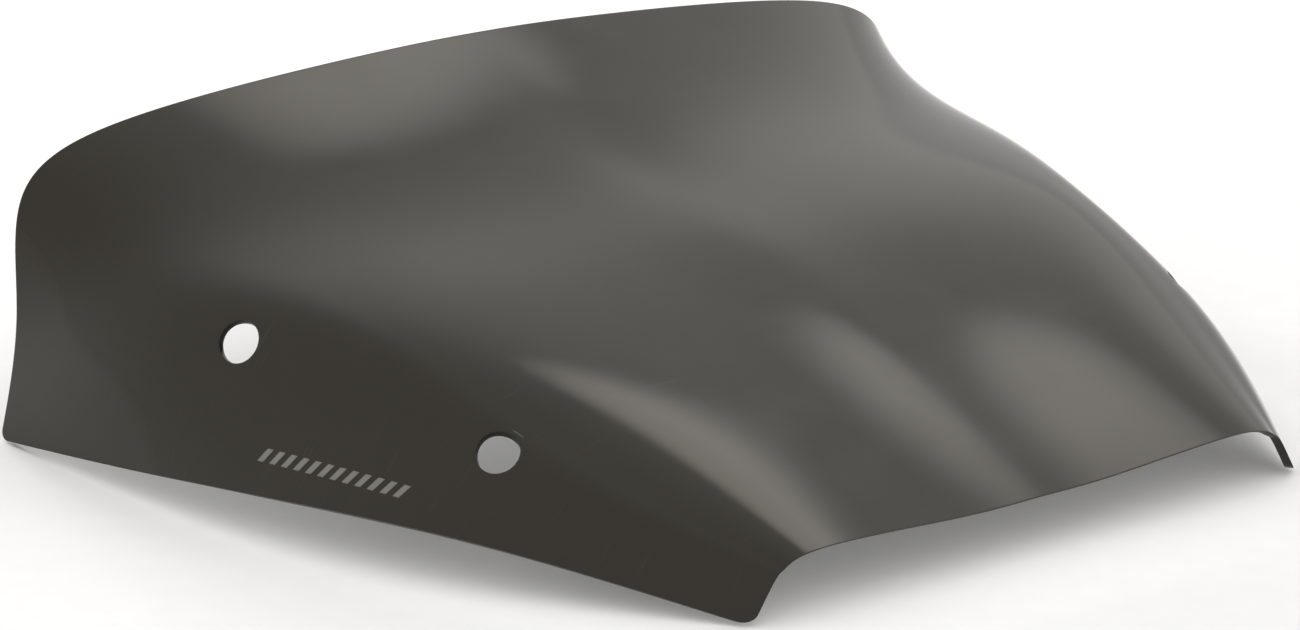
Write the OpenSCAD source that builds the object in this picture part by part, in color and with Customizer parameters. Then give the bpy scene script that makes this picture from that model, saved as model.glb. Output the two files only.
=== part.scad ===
// Motorcycle windshield screen: one thermoformed acrylic sheet with two side wings,
// a kicked-up rear lip and four mounting holes, and a small printed mark on the left wing.
// X runs across the screen, +Y from the front edge to the rear lip, +Z up.
// The origin is under the middle of the screen, on the surface that it stands on.

/* [Overall] */
// Length from the front edge to the rear lip, along the outer face
length = 250; // [180:1:320]
// Width over the wing corners at the front edge
front_w = 218; // [180:0.5:300]
// Width over the wing corners at the rear edge
rear_w = 364; // [300:1:460]
// Height of the middle of the front edge over the wing corners
front_h = 15; // [10:0.5:30]
// Height of the middle of the rear lip over the wing corners
rear_h = 99.5; // [80:0.5:130]

/* [Sheet] */
// Thickness of the acrylic sheet
sheet_t = 2.5; // [2:0.1:5]
// Length by which the front cut leans back under the sheet
front_bevel = 2.5; // [0:0.1:4.5]
// Radius of the four wing corners
corner_r = 3.5; // [1:0.5:8]
// Facets across the whole sheet
facets_across = 52; // [24:2:60]
// Facets from the front edge to the rear lip
facets_along = 30; // [14:1:36]

/* [Mounting holes] */
// Diameter of each mounting hole
hole_d = 12.7; // [6:0.1:16]
// Distance of the front holes behind the front edge
front_hole_y = 75; // [55:1:100]
// Distance of the rear holes behind the front edge
rear_hole_y = 161.5; // [125:0.5:180]
// Distance of the front holes up the wing from its lower edge
front_hole_up = 27; // [18:0.5:40]
// Distance of the rear holes up the wing from its lower edge
rear_hole_up = 42; // [18:0.5:60]

/* [Printed mark] */
// Number of slanted bars in the mark
mark_bars = 12; // [1:1:14]
// Distance of the middle of the mark behind the front edge
mark_y = 116; // [90:0.5:140]
// Distance of the middle of the mark up the wing from its lower edge
mark_up = 10.5; // [6:0.5:20]
// Pitch of the bars
mark_pitch = 4.3; // [2:0.1:5]
// Width of one bar
mark_bar_w = 2.1; // [0.5:0.1:4]
// Height of the bars up the wing
mark_h = 4; // [2:0.1:8]
// Lean of each bar from its foot to its top
mark_lean = 2.4; // [0:0.1:5]
// Thickness of the ink
ink_t = 0.15; // [0.05:0.01:0.4]

/* [Hidden] */

// The face is a loft over five stations, evenly spaced from the front edge to the rear lip.
// Each list below holds one size of the section at the five stations.
// How far the lower edges bow out of the straight line between the front and rear widths
edge_bow = [0, 24.5, 27, 16.5, 0];
// How far inside the lower edge the fold, the shoulder and the wing controls lie
fold_in = [17, 57, 42.5, 101, 31];
shoulder_in = [10.5, 23, 37.5, 39, 2];
wing_in = [9, 13.5, 32, 4.5, 8.5];
// How far the crown dips under the straight line between the front and rear heights
crown_dip = [0, -6.5, -7, 6.5, 0];
// How far under that line the panel (from the crown), fold, shoulder and wing controls lie
panel_drop = [1, 1.5, 2.5, -2.5, 0.5];
fold_drop = [-4, -9, -4.5, 8, 7];
shoulder_drop = [2, 1.5, -2, 12, 23];
wing_drop = [1, 3, 0.5, 17.5, 62.5];
// Height of the lower edge, which arches up between its two corners
edge_arch = [0, 15.5, 14, 7, 0];
// Place of the panel control between the middle and the fold
panel_share = 0.27;
// Step used to measure the face's tangents
step = 0.001;
// Step used to walk along the face
walk = 0.002;
// Length by which a cutter passes the sheet on each side
overcut = 6;
// Share of the face, counted from the lower edge, that can carry ink
ink_share = 0.4;

rows = [for (k = [0:facets_along]) k / facets_along];
cols = [for (k = [0:facets_across]) 2 * k / facets_across - 1];
ink_cols = [for (u = cols) if (u <= ink_share - 1) u];

// Weights of a uniform cubic B-spline at the fraction f of a span
function weights(f) = [
    pow(1 - f, 3),
    3 * pow(f, 3) - 6 * f * f + 4,
    -3 * pow(f, 3) + 3 * f * f + 3 * f + 1,
    pow(f, 3)
] / 6;

// Point at t (0 to 1) on the spline of the list p, which has one extra control at each end
function on_spline(p, t) =
    let (spans = len(p) - 3)
    let (k = min(floor(t * spans), spans - 1))
    weights(t * spans - k) * [p[k], p[k + 1], p[k + 2], p[k + 3]];

// The list p with an extra control after its end, which makes the spline end on the last one
function open_end(p) = concat(p, [2 * p[len(p) - 1] - p[len(p) - 2]]);

// Value at s (0 front, 1 rear) of a list given at the stations
function along(list, s) = on_spline(concat([2 * list[0] - list[1]], open_end(list)), s);

function mix(a, b, s) = a + (b - a) * s;

// Controls [x, z] of the half section at s, from the middle to the lower edge
function controls(s) =
    let (edge_x = mix(front_w, rear_w, s) / 2 + along(edge_bow, s))
    let (line_z = mix(front_h, rear_h, s))
    let (crown_z = line_z - along(crown_dip, s))
    let (fold_x = edge_x - along(fold_in, s))
    [
        [0, crown_z],
        [fold_x * panel_share, crown_z - along(panel_drop, s)],
        [fold_x, line_z - along(fold_drop, s)],
        [edge_x - along(shoulder_in, s), line_z - along(shoulder_drop, s)],
        [edge_x - along(wing_in, s), line_z - along(wing_drop, s)],
        [edge_x, along(edge_arch, s)]
    ];

// Point of the outer face at s along and u across (0 in the middle, 1 and -1 on the lower edges)
function outer(s, u) =
    let (c = controls(s))
    let (q = on_spline(concat([[-c[1].x, c[1].y]], open_end(c)), abs(u)))
    [sign(u) * q.x, length * s, q.y];

// Outward unit normal of the outer face
function normal(s, u) =
    let (s0 = min(s, 1 - step))
    let (u0 = min(u, 1 - step))
    let (n = cross(outer(s0, u0 + step) - outer(s0, u0), outer(s0 + step, u0) - outer(s0, u0)))
    n / norm(n);

// Point at a depth under the outer face
function under(s, u, depth) = outer(s, u) - depth * normal(s, u);

// Value of u at a distance up the wing from the lower edge, walked in small steps
function up_wing(s, distance, u = 1) =
    distance <= 0 ? u
    : up_wing(s, distance - norm(outer(s, u) - outer(s, u - walk)), u - walk);

// Unit directions from a wing corner into the sheet, along the lower edge and up the end edge
function into_edge(s, u) =
    let (d = outer(s + (s > 0.5 ? -1 : 1) * step, u) - outer(s, u)) d / norm(d);
function into_end(s, u) =
    let (d = outer(s, u - sign(u) * step) - outer(s, u)) d / norm(d);

// Lowest height of a rounded wing corner, on its inner face
function corner_low(s) =
    let (a = into_edge(s, 1), b = into_end(s, 1), n = normal(s, 1))
    let (centre = outer(s, 1) + corner_r * (a + b) / norm(cross(a, b)))
    centre.z - corner_r * sqrt(1 - n.z * n.z) - sheet_t * n.z;

// Middle of the whole length, whose rear end is the inner face's, and the lowest height
middle_y = max([for (u = cols) under(1, u, sheet_t).y]) / 2;
ground_z = min(corner_low(0), corner_low(1));

// Moves its children from the front edge's frame to the part's own origin
module placed() {
    translate([0, -middle_y, -ground_z]) children();
}

// Closed skin between an upper and a lower grid of points with the same rows and columns
module skin(upper, lower) {
    last_r = len(upper) - 1;
    last_c = len(upper[0]) - 1;
    count = len(upper) * len(upper[0]);
    points = concat([for (r = upper) each r], [for (r = lower) each r]);
    function id(r, c) = r * (last_c + 1) + c;
    top = [for (r = [0:last_r - 1]) for (c = [0:last_c - 1]) each [
        [id(r, c), id(r + 1, c), id(r + 1, c + 1)],
        [id(r, c), id(r + 1, c + 1), id(r, c + 1)]
    ]];
    bottom = [for (f = top) [f[2] + count, f[1] + count, f[0] + count]];
    rim = concat(
        [for (c = [0:last_c - 1]) [id(0, c), id(0, c + 1)]],
        [for (r = [0:last_r - 1]) [id(r, last_c), id(r + 1, last_c)]],
        [for (c = [last_c:-1:1]) [id(last_r, c), id(last_r, c - 1)]],
        [for (r = [last_r:-1:1]) [id(r, 0), id(r - 1, 0)]]
    );
    wall = [for (e = rim) each [
        [e[0], e[1], e[1] + count],
        [e[0], e[1] + count, e[0] + count]
    ]];
    polyhedron(points, concat(top, bottom, wall), convexity = 6);
}

// Sheet before its holes are drilled and its corners are rounded
module blank() {
    skin(
        [for (s = rows) [for (u = cols) outer(s, u)]],
        [for (s = rows) [for (u = cols) under(max(s, front_bevel / length), u, sheet_t)]]
    );
}

// Places its children at p, with +X along the direction x and +Z near the direction n
module at_face(p, x, n) {
    ex = x / norm(x);
    ey = cross(n, ex) / norm(cross(n, ex));
    ez = cross(ex, ey);
    multmatrix([
        [ex.x, ey.x, ez.x, p.x],
        [ex.y, ey.y, ez.y, p.y],
        [ex.z, ey.z, ez.z, p.z]
    ]) children();
}

// Two holes square to the face, one in each wing
module hole_pair(y, up) {
    s = y / length;
    u = up_wing(s, up);
    for (side = [-1, 1]) {
        at_face(outer(s, side * u), outer(s + step, side * u) - outer(s, side * u), normal(s, side * u))
            translate([0, 0, -sheet_t - overcut])
            cylinder(h = sheet_t + 2 * overcut, d = hole_d, $fn = 64);
    }
}

// Waste outside the round of one wing corner
module corner_waste(s, u) {
    angle = acos(into_edge(s, u) * into_end(s, u));
    tangent = corner_r / tan(angle / 2);
    turn = sign(cross(into_edge(s, u), into_end(s, u)) * normal(s, u));
    at_face(outer(s, u), into_edge(s, u), normal(s, u)) translate([0, 0, -sheet_t - overcut])
        linear_extrude(sheet_t + 2 * overcut) difference() {
            polygon([
                [-overcut * cos(angle / 2), -turn * overcut * sin(angle / 2)],
                [tangent, -turn * overcut],
                [tangent, turn * corner_r],
                tangent * [cos(angle), turn * sin(angle)],
                tangent * [cos(angle), turn * sin(angle)]
                    + overcut * [-sin(angle), turn * cos(angle)]
            ]);
            translate([tangent, turn * corner_r]) circle(corner_r, $fn = 64);
        }
}

module acrylic_screen() {
    color([0.22, 0.21, 0.19]) placed() difference() {
        blank();
        hole_pair(front_hole_y, front_hole_up);
        hole_pair(rear_hole_y, rear_hole_up);
        for (s = [0, 1], u = [-1, 1]) corner_waste(s, u);
    }
}

// Ink over the whole left wing, lying on the facets of the sheet
module ink_layer() {
    skin(
        [for (s = rows) [for (u = ink_cols) under(s, u, -ink_t)]],
        [for (s = rows) [for (u = ink_cols) outer(s, u)]]
    );
}

// Row of slanted bars, centred on its own origin
module bar_row() {
    for (k = [0:mark_bars - 1]) translate([(k - (mark_bars - 1) / 2) * mark_pitch, 0])
        polygon([
            [(mark_lean - mark_bar_w) / 2, mark_h / 2],
            [(mark_lean + mark_bar_w) / 2, mark_h / 2],
            [(mark_bar_w - mark_lean) / 2, -mark_h / 2],
            [-(mark_bar_w + mark_lean) / 2, -mark_h / 2]
        ]);
}

module printed_mark() {
    s = mark_y / length;
    u = -up_wing(s, mark_up);
    color([0.7, 0.7, 0.68]) placed() intersection() {
        ink_layer();
        at_face(outer(s, u), outer(s, u) - outer(s + 0.1, u), normal(s, u))
            translate([0, 0, -overcut]) linear_extrude(2 * overcut) bar_row();
    }
}

acrylic_screen();
printed_mark();
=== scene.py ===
import math

import bmesh
import bpy
from mathutils import Matrix, Vector


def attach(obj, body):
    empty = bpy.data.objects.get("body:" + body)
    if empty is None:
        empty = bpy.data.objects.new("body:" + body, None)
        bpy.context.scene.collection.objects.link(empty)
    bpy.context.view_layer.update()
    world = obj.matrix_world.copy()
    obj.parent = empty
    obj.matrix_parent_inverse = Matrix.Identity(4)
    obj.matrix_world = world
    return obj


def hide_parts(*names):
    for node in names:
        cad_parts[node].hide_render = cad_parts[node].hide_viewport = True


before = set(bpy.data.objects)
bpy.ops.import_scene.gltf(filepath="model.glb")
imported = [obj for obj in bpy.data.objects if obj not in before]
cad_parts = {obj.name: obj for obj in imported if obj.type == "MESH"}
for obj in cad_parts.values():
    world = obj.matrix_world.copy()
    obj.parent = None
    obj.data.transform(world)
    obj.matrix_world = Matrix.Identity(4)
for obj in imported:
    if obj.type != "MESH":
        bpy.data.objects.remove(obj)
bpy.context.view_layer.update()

MM = 0.001

# Sizes of the moulded sheet in millimetres, the same as the part's own.
LENGTH = 250
FRONT_W = 218
REAR_W = 364
FRONT_H = 15
REAR_H = 99.5
SHEET_T = 2.5
FRONT_BEVEL = 2.5
CORNER_R = 3.5
MIDDLE_Y = 125.686
GROUND_Z = -0.566

# Sizes of the sections at five stations, front edge to rear lip.
EDGE_BOW = [0, 24.5, 27, 16.5, 0]
FOLD_IN = [17, 57, 42.5, 101, 31]
SHOULDER_IN = [10.5, 23, 37.5, 39, 2]
WING_IN = [9, 13.5, 32, 4.5, 8.5]
CROWN_DIP = [0, -6.5, -7, 6.5, 0]
PANEL_DROP = [1, 1.5, 2.5, -2.5, 0.5]
FOLD_DROP = [-4, -9, -4.5, 8, 7]
SHOULDER_DROP = [2, 1.5, -2, 12, 23]
WING_DROP = [1, 3, 0.5, 17.5, 62.5]
EDGE_ARCH = [0, 15.5, 14, 7, 0]
PANEL_SHARE = 0.27

# Mounting holes: distance behind the front edge, and place across the face.
HOLE_R = 6.35
FRONT_HOLE = (75, 0.794)
REAR_HOLE = (161.5, 0.814)
# Half the side of the square block of face cells that is drawn round each hole.
HOLE_BLOCK = 10
# Rings of cells counted from a hole's middle: the first kept, and the last pulled round.
HOLE_RING = 6
LAST_RING = 10

# Printed mark: slanted bars on the left wing.
MARK_BARS = 12
MARK_Y = 116
MARK_U = 0.952
MARK_PITCH = 4.3
MARK_BAR_W = 2.1
MARK_H = 4
MARK_LEAN = 2.4
INK_T = 0.15
INK_BITE = 0.02


# ---------------------------------------------------------------- the face


def spline(points, t):
    """Point at t on a uniform cubic spline with one extra control at each end."""
    spans = len(points) - 3
    k = min(int(t * spans), spans - 1)
    f = t * spans - k
    w = (
        (1 - f) ** 3,
        3 * f**3 - 6 * f * f + 4,
        -3 * f**3 + 3 * f * f + 3 * f + 1,
        f**3,
    )
    return sum((points[k + j] * w[j] for j in range(1, 4)), points[k] * w[0]) / 6


def along(values, s):
    ends = [2 * values[0] - values[1]] + values + [2 * values[-1] - values[-2]]
    return spline(ends, s)


section_store = {}


def section(s):
    """Controls of the half section at s, with an extra control at each end."""
    if s not in section_store:
        edge_x = (FRONT_W + (REAR_W - FRONT_W) * s) / 2 + along(EDGE_BOW, s)
        line_z = FRONT_H + (REAR_H - FRONT_H) * s
        crown_z = line_z - along(CROWN_DIP, s)
        fold_x = edge_x - along(FOLD_IN, s)
        c = [
            Vector((0, crown_z)),
            Vector((fold_x * PANEL_SHARE, crown_z - along(PANEL_DROP, s))),
            Vector((fold_x, line_z - along(FOLD_DROP, s))),
            Vector((edge_x - along(SHOULDER_IN, s), line_z - along(SHOULDER_DROP, s))),
            Vector((edge_x - along(WING_IN, s), line_z - along(WING_DROP, s))),
            Vector((edge_x, along(EDGE_ARCH, s))),
        ]
        section_store[s] = [Vector((-c[1].x, c[1].y))] + c + [2 * c[5] - c[4]]
    return section_store[s]


def face_point(s, u):
    """Point of the outer face in millimetres, s along and u across."""
    q = spline(section(s), abs(u))
    return Vector((math.copysign(q.x, u), LENGTH * s - MIDDLE_Y, q.y - GROUND_Z))


def face_tangents(s, u):
    step = 0.001
    s0 = min(s, 1 - step)
    u0 = min(u, 1 - step)
    here = face_point(s0, u0)
    return (
        (face_point(s0 + step, u0) - here) / step,
        (face_point(s0, u0 + step) - here) / step,
    )


def face_normal(s, u):
    back, across = face_tangents(s, u)
    return across.cross(back).normalized()


class FacePlane:
    """Flat coordinates in millimetres round one point of the face."""

    def __init__(self, s, u, heading):
        self.s, self.u = s, u
        self.centre = face_point(s, u)
        self.normal = face_normal(s, u)
        self.x = (heading - heading.dot(self.normal) * self.normal).normalized()
        self.y = self.normal.cross(self.x)

    def flat(self, s, u):
        gap = face_point(s, u) - self.centre
        return Vector((gap.dot(self.x), gap.dot(self.y)))

    def place(self, target):
        """Values s and u of the face point over the flat point target."""
        s, u = self.s, self.u
        for _ in range(5):
            miss = target - self.flat(s, u)
            ds, du = (Vector((t.dot(self.x), t.dot(self.y))) for t in face_tangents(s, u))
            area = ds.x * du.y - ds.y * du.x
            s += (miss.x * du.y - miss.y * du.x) / area
            u += (ds.x * miss.y - ds.y * miss.x) / area
        return s, u


# ---------------------------------------------------------------- the sheet


def runs(parts):
    """Values from parts of (end, number of steps), starting at 0."""
    values = [0]
    for end, count in parts:
        start = values[-1]
        values += [start + (end - start) * k / count for k in range(1, count + 1)]
    return values


# Cells of the sheet's grid: along it, then across each half from the middle out.
CORNER_CELLS, BLOCK_CELLS, GAP_CELLS, REAR_CELLS = 6, 20, 22, 28
FACE_COLS, BLOCK_COLS, WING_COLS, EDGE_COLS = 76, BLOCK_CELLS, 10, CORNER_CELLS
ROWS = runs(
    [
        (CORNER_R, CORNER_CELLS),
        (FRONT_HOLE[0] - HOLE_BLOCK, GAP_CELLS),
        (FRONT_HOLE[0] + HOLE_BLOCK, BLOCK_CELLS),
        (REAR_HOLE[0] - HOLE_BLOCK, GAP_CELLS),
        (REAR_HOLE[0] + HOLE_BLOCK, BLOCK_CELLS),
        (LENGTH - CORNER_R, REAR_CELLS),
        (LENGTH, CORNER_CELLS),
    ]
)
FRONT_HOLE_ROW = CORNER_CELLS + GAP_CELLS + BLOCK_CELLS // 2
REAR_HOLE_ROW = FRONT_HOLE_ROW + BLOCK_CELLS + GAP_CELLS
HALF_COLS = FACE_COLS + BLOCK_COLS + WING_COLS + EDGE_COLS
HOLE_COL = FACE_COLS + BLOCK_COLS // 2
# Most of the room between a hole and the round of the edge that its block may fill.
BLOCK_SHARE = 0.6


def columns(s):
    """Values of u from the middle to the lower edge in the row at s."""
    f = min(max((s * LENGTH - FRONT_HOLE[0]) / (REAR_HOLE[0] - FRONT_HOLE[0]), 0), 1)
    hole_u = FRONT_HOLE[1] + (REAR_HOLE[1] - FRONT_HOLE[1]) * f
    block_u = HOLE_BLOCK / face_tangents(s, hole_u)[1].length
    edge_u = CORNER_R / face_tangents(s, 1)[1].length
    block_u = min(block_u, BLOCK_SHARE * (1 - edge_u - hole_u))
    return runs(
        [
            (hole_u - block_u, FACE_COLS),
            (hole_u + block_u, BLOCK_COLS),
            (1 - edge_u, WING_COLS),
            (1, EDGE_COLS),
        ]
    )


def rounded_corner(row, col):
    """Row and column, in fractions, moved on to the round of a wing corner."""
    last = len(ROWS) - 1
    a = CORNER_CELLS - row if row < CORNER_CELLS else row - (last - CORNER_CELLS)
    b = abs(col) - (HALF_COLS - EDGE_COLS)
    if a <= 0 or b <= 0:
        return row, col
    reach = max(a, b)
    angle = math.pi / 4 * (b / a if b < a else 2 - a / b)
    a, b = reach * math.cos(angle), reach * math.sin(angle)
    row = CORNER_CELLS - a if row < CORNER_CELLS else last - CORNER_CELLS + a
    return row, math.copysign(HALF_COLS - EDGE_COLS + b, col)


def between(values, place):
    k = min(int(place), len(values) - 2)
    return values[k] + (values[k + 1] - values[k]) * (place - k)


def hole_planes():
    planes = {}
    for row, (y, u) in ((FRONT_HOLE_ROW, FRONT_HOLE), (REAR_HOLE_ROW, REAR_HOLE)):
        for side in (-1, 1):
            s = y / LENGTH
            planes[row, side] = FacePlane(s, side * u, face_tangents(s, side * u)[0])
    return planes


# How far each ring of cells is pulled from the plain grid on to a circle.
PULL = {6: 1, 7: 0.85, 8: 0.55, 9: 0.22, 10: 0}
# Radius that the outermost ring aims for.
RING_REACH = HOLE_BLOCK * 1.1


def sheet_places():
    """Values s and u for each row and column; None inside a hole."""
    row_columns = [columns(y / LENGTH) for y in ROWS]
    planes = hole_planes()
    places = {}
    for row in range(len(ROWS)):
        for col in range(-HALF_COLS, HALF_COLS + 1):
            side = -1 if col < 0 else 1
            r, c = rounded_corner(row, col)
            s = between(ROWS, r) / LENGTH
            u = side * between(row_columns[row], abs(c))
            for (hole_row, hole_side), plane in planes.items():
                p, q = row - hole_row, side * (col - hole_side * HOLE_COL)
                ring = max(abs(p), abs(q))
                if side != hole_side or ring > LAST_RING:
                    continue
                if ring < HOLE_RING:
                    s = None
                    break
                plain = plane.flat(s, u)
                corner = Vector((p, q))
                if abs(p) >= abs(q):
                    angle = math.pi / 4 * q / p + (math.pi if p < 0 else 0)
                else:
                    angle = math.pi / 2 - math.pi / 4 * p / q
                    angle += math.pi if q < 0 else 0
                share = (ring - HOLE_RING) / (LAST_RING - HOLE_RING)
                reach = HOLE_R + (RING_REACH - HOLE_R) * share
                turn = 1 if plane.flat(plane.s, plane.u + side * 0.01).y > 0 else -1
                ringed = reach * Vector((math.cos(angle), turn * math.sin(angle)))
                s, u = plane.place(plain.lerp(ringed, PULL[ring]))
            places[row, col] = None if s is None else (s, u)
    return places


def sunk_point(s, u, depth):
    return (face_point(s, u) - depth * face_normal(s, u)) * MM


def thicken(bm, depth_of, bevel=0):
    """Gives an open face its depth and rounds its cut edges."""
    s_layer = bm.verts.layers.float["s"]
    u_layer = bm.verts.layers.float["u"]
    outer = set(bm.faces)
    grown = bmesh.ops.extrude_face_region(bm, geom=list(bm.faces), use_keep_orig=True)
    inner = {f for f in grown["geom"] if isinstance(f, bmesh.types.BMFace)}
    for v in (g for g in grown["geom"] if isinstance(g, bmesh.types.BMVert)):
        v.co = depth_of(v[s_layer], v[u_layer])
    bm.normal_update()
    walls = [f for f in bm.faces if f not in outer and f not in inner]
    for f in bm.faces:
        f.smooth = True
    for f in walls:
        f.material_index = 1
    rims = [
        e
        for e in bm.edges
        if len(e.link_faces) == 2
        and e.link_faces[0].material_index != e.link_faces[1].material_index
    ]
    bmesh.ops.recalc_face_normals(bm, faces=list(bm.faces))
    if bevel:
        bmesh.ops.bevel(
            bm,
            geom=rims,
            offset=bevel,
            segments=3,
            profile=0.5,
            affect="EDGES",
            material=-1,
            clamp_overlap=True,
        )
        for f in bm.faces:
            f.smooth = True


def new_piece(name, bm, materials):
    mesh = bpy.data.meshes.new(name)
    bm.to_mesh(mesh)
    bm.free()
    for m in materials:
        mesh.materials.append(m)
    piece = bpy.data.objects.new(name, mesh)
    bpy.context.scene.collection.objects.link(piece)
    return piece


# Soft edge of the cuts, and the length over which the front cut's lean dies out.
EDGE_ROUND = 0.32
LEAN_REACH = 5


def lower_place(s, u):
    """Inner face under s and u; the front cut leans back under the sheet."""
    lean = FRONT_BEVEL / LENGTH
    s += lean * max(0, 1 - s / (LEAN_REACH * lean))
    return sunk_point(s, u, SHEET_T)


def sheet_mesh():
    bm = bmesh.new()
    last_row = len(ROWS) - 1
    bmesh.ops.create_grid(bm, x_segments=2 * HALF_COLS, y_segments=last_row, size=1)
    s_layer = bm.verts.layers.float.new("s")
    u_layer = bm.verts.layers.float.new("u")
    places = sheet_places()
    drilled = []
    for v in bm.verts:
        row = round((v.co.y + 1) / 2 * last_row)
        col = round(v.co.x * HALF_COLS)
        place = places[row, col]
        if place is None:
            drilled.append(v)
            continue
        v[s_layer], v[u_layer] = place
        v.co = sunk_point(*place, 0)
    bmesh.ops.delete(bm, geom=drilled, context="VERTS")
    thicken(bm, lower_place, EDGE_ROUND * MM)
    return bm


# ---------------------------------------------------------------- materials


def node_maker(tree):
    def make(kind, **settings):
        node = tree.nodes.new("ShaderNode" + kind)
        inputs = settings.pop("inputs", {})
        for key, value in settings.items():
            setattr(node, key, value)
        for key, value in inputs.items():
            if isinstance(value, bpy.types.NodeSocket):
                tree.links.new(value, node.inputs[key])
            else:
                node.inputs[key].default_value = value
        return node

    return make


def fine_wear_group():
    """Handling marks: hair scratches and dust, as one mask, and slow ripple."""
    tree = bpy.data.node_groups.new("fine_wear", "ShaderNodeTree")
    number = "NodeSocketFloat"
    for name, kind in (("Position", "NodeSocketVector"), ("Scratch", number), ("Dust", number)):
        tree.interface.new_socket(name, in_out="INPUT", socket_type=kind)
    for name in ("Marks", "Ripple", "Haze"):
        tree.interface.new_socket(name, in_out="OUTPUT", socket_type=number)
    make = node_maker(tree)
    given = tree.nodes.new("NodeGroupInput")
    out = tree.nodes.new("NodeGroupOutput")
    place = given.outputs["Position"]
    lines = []
    for turn, stretch in ((0.4, 3000), (2.2, 2400)):
        turned = make(
            "Mapping",
            inputs={0: place, "Rotation": (0.2, 0.3, turn), "Scale": (30, stretch, 60)},
        )
        noise = make("TexNoise", inputs={"Vector": turned.outputs[0], "Scale": 1.0, "Detail": 2.0})
        thin = make("MapRange", inputs={0: noise.outputs[0], 1: 0.69, 2: 0.76, 3: 0.0, 4: 1.0})
        lines.append(thin.outputs[0])
    both = make("Math", operation="MAXIMUM", inputs={0: lines[0], 1: lines[1]})
    scratch = make(
        "Math", operation="MULTIPLY", inputs={0: both.outputs[0], 1: given.outputs["Scratch"]}
    )
    cells = make("TexVoronoi", inputs={"Vector": place, "Scale": 420.0})
    speck = make(
        "MapRange", inputs={0: cells.outputs["Distance"], 1: 0.05, 2: 0.12, 3: 1.0, 4: 0.0}
    )
    patch = make("TexNoise", inputs={"Vector": place, "Scale": 28.0, "Detail": 3.0})
    thick = make("MapRange", inputs={0: patch.outputs[0], 1: 0.5, 2: 0.72, 3: 0.0, 4: 1.0})
    settled = make("Math", operation="MULTIPLY", inputs={0: speck.outputs[0], 1: thick.outputs[0]})
    dust = make(
        "Math", operation="MULTIPLY", inputs={0: settled.outputs[0], 1: given.outputs["Dust"]}
    )
    marks = make(
        "Math",
        operation="ADD",
        use_clamp=True,
        inputs={0: scratch.outputs[0], 1: dust.outputs[0]},
    )
    ripple = make(
        "TexNoise", inputs={"Vector": place, "Scale": 16.0, "Detail": 1.0, "Roughness": 0.3}
    )
    haze = make("TexNoise", inputs={"Vector": place, "Scale": 45.0, "Detail": 4.0})
    for name, node in (("Marks", marks), ("Ripple", ripple), ("Haze", haze)):
        tree.links.new(node.outputs[0], out.inputs[name])
    return tree


def plastic(
    name, dark, light, rough, rough_spread, scratch, dust, ripple_depth, wear, grain=None
):
    """A moulded or printed plastic with wear in colour, roughness and bump."""
    material = bpy.data.materials.new(name)
    material.use_nodes = True
    tree = material.node_tree
    make = node_maker(tree)
    shader = tree.nodes["Principled BSDF"]
    shader.inputs["IOR"].default_value = 1.49
    shader.inputs["Specular IOR Level"].default_value = 0.44
    shader.inputs["Specular Tint"].default_value = (1, 0.94, 0.8, 1)
    place = make("TexCoord").outputs["Object"]
    group = tree.nodes.new("ShaderNodeGroup")
    group.node_tree = wear
    tree.links.new(place, group.inputs["Position"])
    group.inputs["Scratch"].default_value = scratch
    group.inputs["Dust"].default_value = dust
    tone = make(
        "Mix",
        data_type="RGBA",
        inputs={0: group.outputs["Haze"], 6: (*dark, 1), 7: (*light, 1)},
    )
    dusty = make("Math", operation="MULTIPLY", inputs={0: group.outputs["Marks"], 1: 0.06})
    colour = make(
        "Mix",
        data_type="RGBA",
        inputs={0: dusty.outputs[0], 6: tone.outputs[2], 7: (0.5, 0.48, 0.44, 1)},
    )
    tree.links.new(colour.outputs[2], shader.inputs["Base Color"])
    spread = make(
        "MapRange",
        inputs={0: group.outputs["Haze"], 1: 0.3, 2: 0.7, 3: rough, 4: rough + rough_spread},
    )
    worn = make(
        "Math",
        operation="MULTIPLY_ADD",
        inputs={0: group.outputs["Marks"], 1: 0.25, 2: spread.outputs[0]},
    )
    tree.links.new(worn.outputs[0], shader.inputs["Roughness"])
    bump = make(
        "Bump",
        inputs={"Height": group.outputs["Ripple"], "Strength": 1.0, "Distance": ripple_depth},
    )
    last = bump.outputs[0]
    if grain:
        turned = make("Mapping", inputs={0: place, "Scale": grain})
        lines = make("TexNoise", inputs={"Vector": turned.outputs[0], "Scale": 1.0, "Detail": 3.0})
        last = make(
            "Bump",
            inputs={
                "Height": lines.outputs[0],
                "Strength": 0.5,
                "Distance": 0.00008,
                "Normal": last,
            },
        ).outputs[0]
    tree.links.new(last, shader.inputs["Normal"])
    return material


wear = fine_wear_group()
smoked = plastic(
    "smoked_acrylic",
    dark=(0.005, 0.0045, 0.0034),
    light=(0.009, 0.008, 0.006),
    rough=0.07,
    rough_spread=0.05,
    scratch=0.35,
    dust=0.5,
    ripple_depth=0.00006,
    wear=wear,
)
cut_edge = plastic(
    "cut_edge",
    dark=(0.006, 0.006, 0.005),
    light=(0.014, 0.013, 0.012),
    rough=0.22,
    rough_spread=0.15,
    scratch=0.2,
    dust=0.2,
    ripple_depth=0.00004,
    wear=wear,
    grain=(500, 500, 4000),
)
ink = plastic(
    "mark_ink",
    dark=(0.13, 0.128, 0.12),
    light=(0.2, 0.197, 0.185),
    rough=0.45,
    rough_spread=0.2,
    scratch=0.5,
    dust=0.3,
    ripple_depth=0.00003,
    wear=wear,
)

sheet = new_piece("smoked_sheet", sheet_mesh(), [smoked, cut_edge])
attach(sheet, "root")
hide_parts("acrylic_screen")


# ---------------------------------------------------------------- the mark


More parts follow.
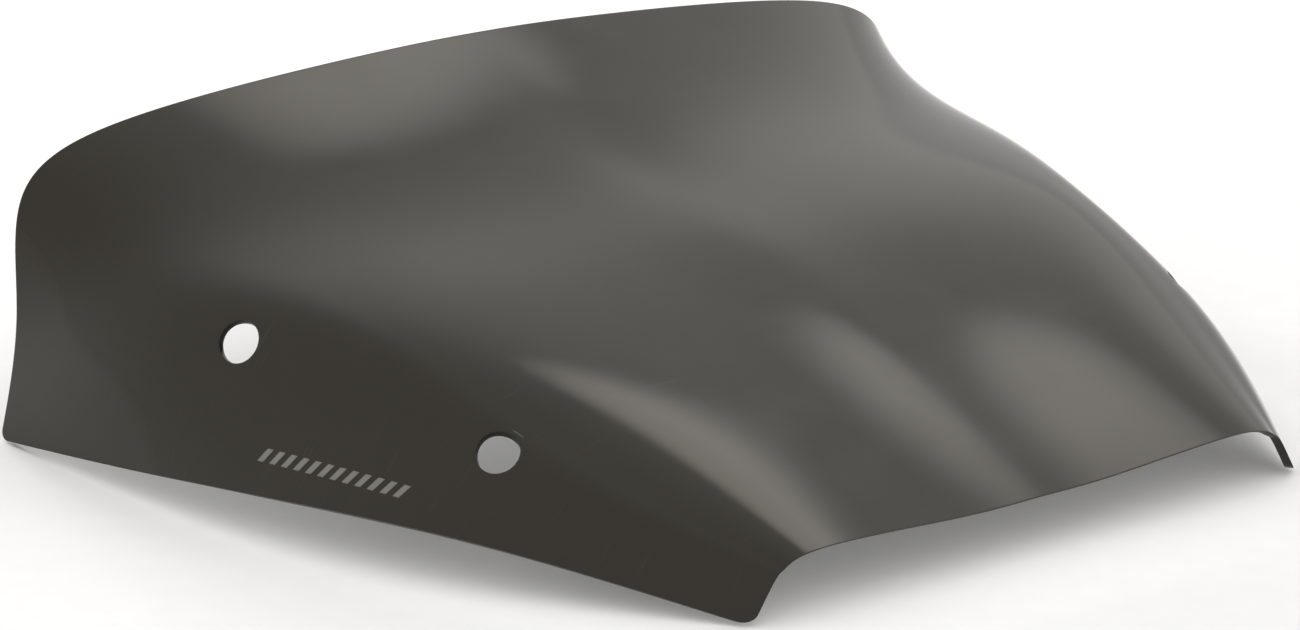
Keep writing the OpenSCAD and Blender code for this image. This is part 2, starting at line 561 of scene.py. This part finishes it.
def mark_mesh():
    s = MARK_Y / LENGTH
    ahead = face_point(s, -MARK_U) - face_point(s + 0.1, -MARK_U)
    plane = FacePlane(s, -MARK_U, ahead)
    whole = bmesh.new()
    s_layer = whole.verts.layers.float.new("s")
    u_layer = whole.verts.layers.float.new("u")
    for k in range(MARK_BARS):
        middle = (k - (MARK_BARS - 1) / 2) * MARK_PITCH
        made = bmesh.ops.create_grid(whole, x_segments=4, y_segments=6, size=0.5)
        for v in made["verts"]:
            across, up = v.co.x, v.co.y
            flat = Vector((middle + across * MARK_BAR_W + up * MARK_LEAN, up * MARK_H))
            v[s_layer], v[u_layer] = plane.place(flat)
            v.co = sunk_point(v[s_layer], v[u_layer], -INK_T)
    thicken(whole, lambda s, u: sunk_point(s, u, INK_BITE))
    return whole


mark = new_piece("hatched_mark", mark_mesh(), [ink, ink])
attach(mark, "root")
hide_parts("printed_mark")


# ---------------------------------------------------------------- stage


def pale_floor():
    bm = bmesh.new()
    bmesh.ops.create_grid(bm, x_segments=1, y_segments=1, size=6)
    material = bpy.data.materials.new("floor_paper")
    material.use_nodes = True
    make = node_maker(material.node_tree)
    shader = material.node_tree.nodes["Principled BSDF"]
    place = make("TexCoord").outputs["Object"]
    noise = make("TexNoise", inputs={"Vector": place, "Scale": 90.0})
    tone = make(
        "Mix",
        data_type="RGBA",
        inputs={0: noise.outputs[0], 6: (0.86, 0.86, 0.86, 1), 7: (0.9, 0.9, 0.9, 1)},
    )
    material.node_tree.links.new(tone.outputs[2], shader.inputs["Base Color"])
    shader.inputs["Roughness"].default_value = 0.9
    shader.inputs["Specular IOR Level"].default_value = 0.1
    new_piece("floor", bm, [material])


def soft_light(name, place, aim, size, power):
    lamp = bpy.data.lights.new(name, "AREA")
    lamp.shape = "RECTANGLE"
    lamp.size, lamp.size_y = size
    lamp.energy = power
    light = bpy.data.objects.new(name, lamp)
    light.location = place
    light.rotation_euler = (Vector(aim) - Vector(place)).to_track_quat("-Z", "Y").to_euler()
    bpy.context.scene.collection.objects.link(light)


def soft_patch(make, towards, centre, width, strength):
    """Brightness of one soft patch of light seen in the direction centre."""
    facing = make("VectorMath", operation="DOT_PRODUCT", inputs={0: towards, 1: centre})
    inner, outer = math.cos(math.radians(width * 0.35)), math.cos(math.radians(width))
    return make(
        "MapRange",
        interpolation_type="SMOOTHSTEP",
        inputs={0: facing.outputs["Value"], 1: outer, 2: inner, 3: 0.0, 4: strength},
    ).outputs[0]


def from_angles(azimuth, elevation):
    a, e = math.radians(azimuth), math.radians(elevation)
    return (math.sin(a) * math.cos(e), math.cos(a) * math.cos(e), math.sin(e))


# Added brightness of the low strip of light, over surroundings of 1.
STRIP_STRENGTH = 0.25


def light_strip(make, towards):
    """Brightness of a low wide strip of light behind the right side."""
    height = make("SeparateXYZ", inputs={0: towards}).outputs[2]
    facing = make("VectorMath", operation="DOT_PRODUCT", inputs={0: towards, 1: from_angles(60, 0)})
    start, full, fade, end = (math.sin(math.radians(e)) for e in (21.6, 23.2, 30, 38))
    above, below, side = (
        make(
            "MapRange",
            interpolation_type="SMOOTHSTEP",
            inputs={0: value, 1: low, 2: high, 3: at_low, 4: at_high},
        )
        for value, low, high, at_low, at_high in (
            (height, start, full, 0.0, 1.0),
            (height, fade, end, 1.0, 0.0),
            (facing.outputs["Value"], 0.2, 0.6, 0.0, STRIP_STRENGTH),
        )
    )
    band = make("Math", operation="MULTIPLY", inputs={0: above.outputs[0], 1: below.outputs[0]})
    lit = make("Math", operation="MULTIPLY", inputs={0: band.outputs[0], 1: side.outputs[0]})
    return lit.outputs[0]


def set_world():
    """Even white surroundings with one small bright patch and a low strip."""
    world = bpy.data.worlds.new("studio")
    world.use_nodes = True
    make = node_maker(world.node_tree)
    towards = make("TexCoord").outputs["Generated"]
    patch = soft_patch(make, towards, from_angles(66.3, 50.5), width=9.5, strength=1.9)
    total = 1.0
    for extra in (patch, light_strip(make, towards)):
        total = make("Math", operation="ADD", inputs={0: total, 1: extra}).outputs[0]
    background = world.node_tree.nodes["Background"]
    background.inputs["Color"].default_value = (1, 0.99, 0.97, 1)
    world.node_tree.links.new(total, background.inputs["Strength"])
    bpy.context.scene.world = world
    bpy.context.scene.view_settings.view_transform = "Standard"


def set_camera():
    lens = bpy.data.cameras.new("camera")
    lens.sensor_width = 36
    lens.lens = 137.03
    lens.clip_end = 50
    right = Vector((0.75195, -0.65852, 0.03029))
    down = Vector((-0.16917, -0.23718, -0.95662))
    ahead = Vector((0.63714, 0.71421, -0.28975))
    turn = Matrix((right, -down, -ahead)).transposed()
    camera = bpy.data.objects.new("camera", lens)
    camera.matrix_world = Matrix.LocRotScale(Vector((-0.96201, -1.03635, 0.46472)), turn, None)
    bpy.context.scene.collection.objects.link(camera)
    bpy.context.scene.camera = camera


pale_floor()
set_world()
set_camera()
soft_light("back_fill", (0.15, 2.0, 0.55), (0, 0, 0), (1.0, 0.5), 25)
